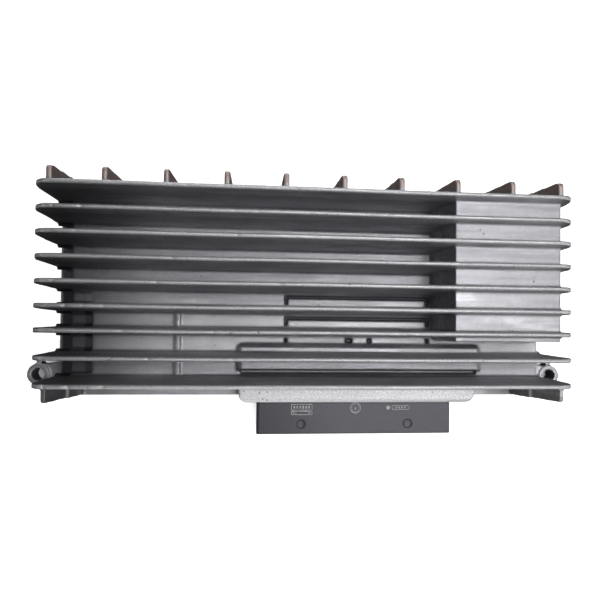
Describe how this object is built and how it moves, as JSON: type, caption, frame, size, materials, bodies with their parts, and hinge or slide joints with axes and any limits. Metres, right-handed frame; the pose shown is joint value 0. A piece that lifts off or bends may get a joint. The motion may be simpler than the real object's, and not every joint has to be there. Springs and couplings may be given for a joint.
{
  "type": "micro inverter",
  "caption": "Sealed die-cast inverter with long cooling fins, side ribs, a raised transformer pocket, a two-socket connector header and two bolt-down ears.",
  "frame": {"origin": "midway between the two mounting ear holes, on the mounting plane", "axes": "+X along the fins, +Y from the connector towards the ribbed side, +Z out of the mounting plane through the fins"},
  "size_m": [0.2842, 0.128, 0.06],
  "materials": {
    "cast_aluminium": "as-cast, shot-blasted, worn edges",
    "cover_aluminium": "as-cast satin",
    "black_rubber": "matt",
    "zinc_steel": "zinc plated",
    "slate_plastic": "fine moulded grain",
    "spring_steel": "rolled spring steel",
    "gold_plate": "gold-plated brass",
    "tin_plate": "tin-plated copper",
    "board_green": "solder mask over glass cloth",
    "ferrite": "sintered ferrite",
    "black_plastic": "glass-filled moulding",
    "copper_wire": "enamelled copper wire",
    "heat_pad": "soft filled silicone",
    "powder_core": "painted powder core",
    "choke_core": "coated ferrite",
    "epoxy_black": "moulded epoxy",
    "capacitor_sleeve": "shrunk sleeve",
    "film_box": "moulded box",
    "relay_blue": "moulded case",
    "fuse_ceramic": "ceramic tube",
    "varistor_blue": "dipped coating",
    "membrane_white": "porous film",
    "blank_foil": "blank brushed foil"
  },
  "bodies": {
    "root": {"housing": "cast_aluminium", "back_cover": "cover_aluminium", "cover_gasket": "black_rubber", "cover_screws": "zinc_steel", "connector_header": "slate_plastic", "header_seal": "black_rubber", "header_clip": "spring_steel", "signal_pins": "gold_plate", "power_blades": "tin_plate", "circuit_board": "board_green", "board_screws": "zinc_steel", "transformer_core": "ferrite", "transformer_bobbin": "black_plastic", "primary_winding": "copper_wire", "secondary_winding": "copper_wire", "transformer_pad": "heat_pad", "inductor_core": "powder_core", "inductor_winding": "copper_wire", "choke_core": "choke_core", "choke_windings": "copper_wire", "transistor_bodies": "epoxy_black", "transistor_leads": "tin_plate", "thermal_pads": "heat_pad", "clamp_bar": "spring_steel", "clamp_screws": "zinc_steel", "bus_capacitors": "capacitor_sleeve", "film_capacitors": "film_box", "relays": "relay_blue", "fuse": "fuse_ceramic", "varistors": "varistor_blue", "controller_chip": "epoxy_black", "gate_drivers": "epoxy_black", "current_sensors": "epoxy_black", "vent_membrane": "membrane_white", "rating_plate": "blank_foil"}
  },
  "joints": []
}
